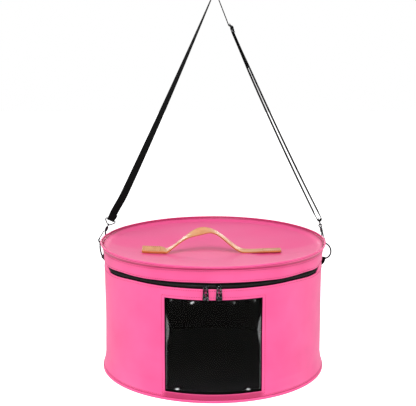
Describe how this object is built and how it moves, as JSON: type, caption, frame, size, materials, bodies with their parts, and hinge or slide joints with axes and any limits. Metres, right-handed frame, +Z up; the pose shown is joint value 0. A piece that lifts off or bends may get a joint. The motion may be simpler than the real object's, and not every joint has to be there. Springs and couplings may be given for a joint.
{
  "type": "hat box",
  "caption": "Round pink hat box with a zipped lid, a clear front window, a leather handle and a webbing shoulder strap on swivel hooks, hung by the strap.",
  "frame": {"origin": "underside of the strap's crown, where the box hangs", "axes": "+X to the right of the window, +Y to the back, +Z up"},
  "size_m": [0.4619, 0.431, 0.7118],
  "materials": {
    "pink": "coated leather, fine grain, satin",
    "lining": "woven lining",
    "film": "clear soft film",
    "tape": "woven zip tape",
    "coil": "nylon coil",
    "metal": "dark polished metal",
    "leather": "tan leather",
    "webbing": "black woven webbing"
  },
  "bodies": {
    "box": {"body_wall": "pink", "base_welt": "pink", "base_panel": "pink", "lining_floor": "lining", "lining_wall": "lining", "window_binding": "webbing", "window_film": "film", "zip_tape_lower": "tape", "zip_tape_upper": "tape", "zip_coil": "coil", "hinge_strip": "pink", "zip_slider_left": "metal", "zip_slider_right": "metal", "lid_skirt": "pink", "lid_welt": "pink", "lid_panel": "pink", "handle": "leather", "ring_left": "metal", "ring_right": "metal", "ring_tab_left": "webbing", "ring_tab_right": "webbing", "hook_body_left": "metal", "hook_body_right": "metal", "hook_swivel_left": "metal", "hook_swivel_right": "metal", "hook_loop_left": "metal", "hook_loop_right": "metal", "shoulder_strap": "webbing", "strap_adjuster": "metal"},
    "zip_pull_left": {"zip_pull_left": "metal"},
    "zip_pull_right": {"zip_pull_right": "metal"},
    "hook_gate_left": {"hook_gate_left": "metal"},
    "hook_gate_right": {"hook_gate_right": "metal"}
  },
  "joints": [
    {"name": "zip_pull_left_hinge", "type": "hinge", "parent": "box", "child": "zip_pull_left", "pos_m": [-0.01665, -0.21106, -0.49668], "axis": [-0.9979, 0.0645, 0], "range_deg": [0, 160]},
    {"name": "zip_pull_right_hinge", "type": "hinge", "parent": "box", "child": "zip_pull_right", "pos_m": [0.00659, -0.21128, -0.49668], "axis": [-0.999, -0.0454, 0], "range_deg": [0, 160]},
    {"name": "hook_gate_left_hinge", "type": "hinge", "parent": "box", "child": "hook_gate_left", "pos_m": [-0.21817, 0.05739, -0.45757], "axis": [-0.1822, -0.9825, -0.0382], "range_deg": [0, 18], "stiffness_Nm_per_rad": 0.02, "springref_deg": -5.73},
    {"name": "hook_gate_right_hinge", "type": "hinge", "parent": "box", "child": "hook_gate_right", "pos_m": [0.2139, 0.06024, -0.4606], "axis": [-0.8457, 0.5054, -0.1711], "range_deg": [0, 18], "stiffness_Nm_per_rad": 0.02, "springref_deg": -5.73}
  ]
}
